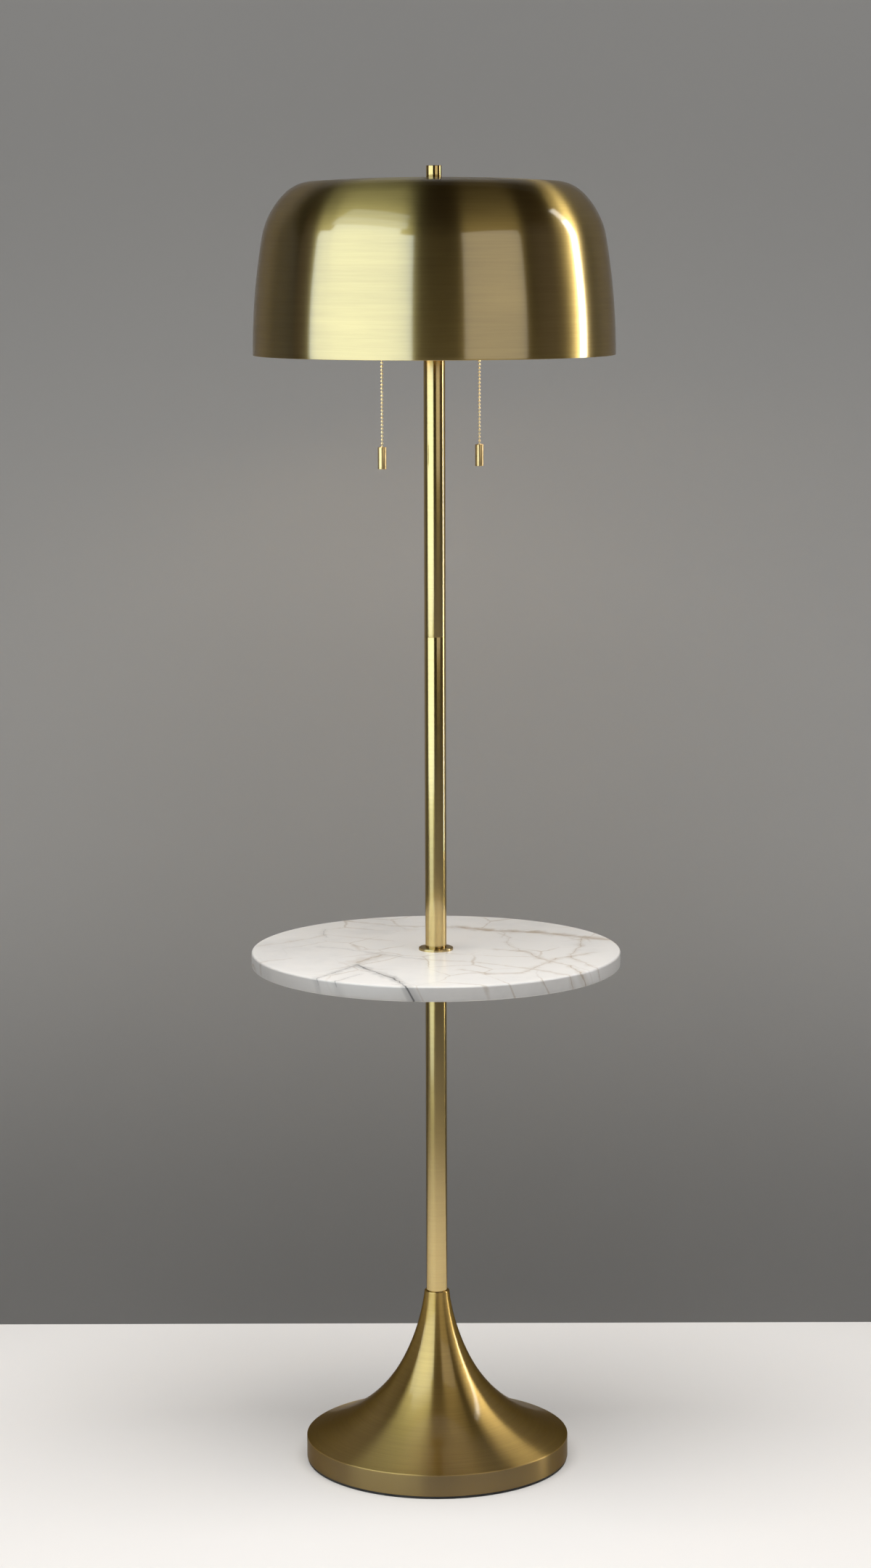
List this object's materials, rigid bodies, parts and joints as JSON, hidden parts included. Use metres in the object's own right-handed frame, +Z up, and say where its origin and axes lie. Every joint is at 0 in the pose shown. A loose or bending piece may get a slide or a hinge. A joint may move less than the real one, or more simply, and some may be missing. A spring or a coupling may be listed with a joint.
{
  "type": "floor lamp with table",
  "caption": "Brass floor lamp with a trumpet base, a round marble table on its pole, a dome shade, and pull chains with plain barrel knobs.",
  "frame": {"origin": "on the floor, on the axis of the pole, at the underside of the base pad", "axes": "+Z up along the pole; -Y is the front that the picture shows; +X to the right in it"},
  "size_m": [0.4359, 0.436, 1.5365],
  "materials": {
    "antique_brass": "satin antique brass, brushed round the axis",
    "polished_brass": "polished brass",
    "marble": "polished white marble with grey and tan veins",
    "rubber": "matte black",
    "iron": "rough casting",
    "steel": "zinc plated",
    "insulator": "moulded black",
    "bulb_glass": "frosted white",
    "bulb_metal": "bright screw cap"
  },
  "bodies": {
    "stand": {"base_cover": "antique_brass", "lower_pole": "antique_brass", "middle_pole": "antique_brass", "upper_pole": "antique_brass", "table_collar": "antique_brass", "table_flange": "antique_brass", "cluster_cup": "antique_brass", "cluster_lid": "antique_brass", "shade": "antique_brass", "arm_left": "antique_brass", "arm_right": "antique_brass", "socket_cap_left": "antique_brass", "socket_cap_right": "antique_brass", "socket_shell_left": "antique_brass", "socket_shell_right": "antique_brass", "finial": "polished_brass", "chain_guide_left": "polished_brass", "chain_guide_right": "polished_brass", "screw_shell_left": "polished_brass", "screw_shell_right": "polished_brass", "centre_contact_left": "polished_brass", "centre_contact_right": "polished_brass", "table_top": "marble", "base_pad": "rubber", "table_cushion": "rubber", "cord_bushing": "rubber", "base_weight": "iron", "base_riser": "steel", "base_rod": "steel", "base_washer": "steel", "base_nut": "steel", "lower_pole_foot": "steel", "lower_pole_head": "steel", "middle_pole_foot": "steel", "middle_pole_head": "steel", "upper_pole_foot": "steel", "upper_pole_head": "steel", "table_rod": "steel", "seam_rod": "steel", "cluster_nut": "steel", "shade_stem": "steel", "seat_nut": "steel", "seat_washer": "steel", "socket_insulator_left": "insulator", "socket_insulator_right": "insulator", "bulb_glass_left": "bulb_glass", "bulb_glass_right": "bulb_glass", "bulb_cap_left": "bulb_metal", "bulb_cap_right": "bulb_metal"},
    "pull_left": {"switch_plunger_left": "polished_brass"},
    "chain_left": {"ball_chain_left": "polished_brass"},
    "knob_left": {"pull_knob_left": "polished_brass"},
    "pull_right": {"switch_plunger_right": "polished_brass"},
    "chain_right": {"ball_chain_right": "polished_brass"},
    "knob_right": {"pull_knob_right": "polished_brass"}
  },
  "joints": [
    {"name": "pull_switch_left", "type": "slide", "parent": "stand", "child": "pull_left", "axis": [0, 0, -1], "range_m": [0, 0.008], "stiffness_N_per_m": 600, "springref_m": -0.004},
    {"name": "chain_swing_left", "type": "hinge", "parent": "pull_left", "child": "chain_left", "pos_m": [-0.0604, -0.02946, 1.3686], "axis": [-0.8988, -0.4384, 0], "range_deg": [-30, 30]},
    {"name": "knob_swing_left", "type": "hinge", "parent": "chain_left", "child": "knob_left", "pos_m": [-0.0604, -0.02946, 1.21632], "axis": [0.4384, -0.8988, 0], "range_deg": [-30, 30]},
    {"name": "pull_switch_right", "type": "slide", "parent": "stand", "child": "pull_right", "axis": [0, 0, -1], "range_m": [0, 0.008], "stiffness_N_per_m": 600, "springref_m": -0.004},
    {"name": "chain_swing_right", "type": "hinge", "parent": "pull_right", "child": "chain_right", "pos_m": [0.05222, 0.02547, 1.3686], "axis": [0.8988, 0.4384, 0], "range_deg": [-30, 30]},
    {"name": "knob_swing_right", "type": "hinge", "parent": "chain_right", "child": "knob_right", "pos_m": [0.05222, 0.02547, 1.21632], "axis": [-0.4384, 0.8988, 0], "range_deg": [-30, 30]}
  ]
}
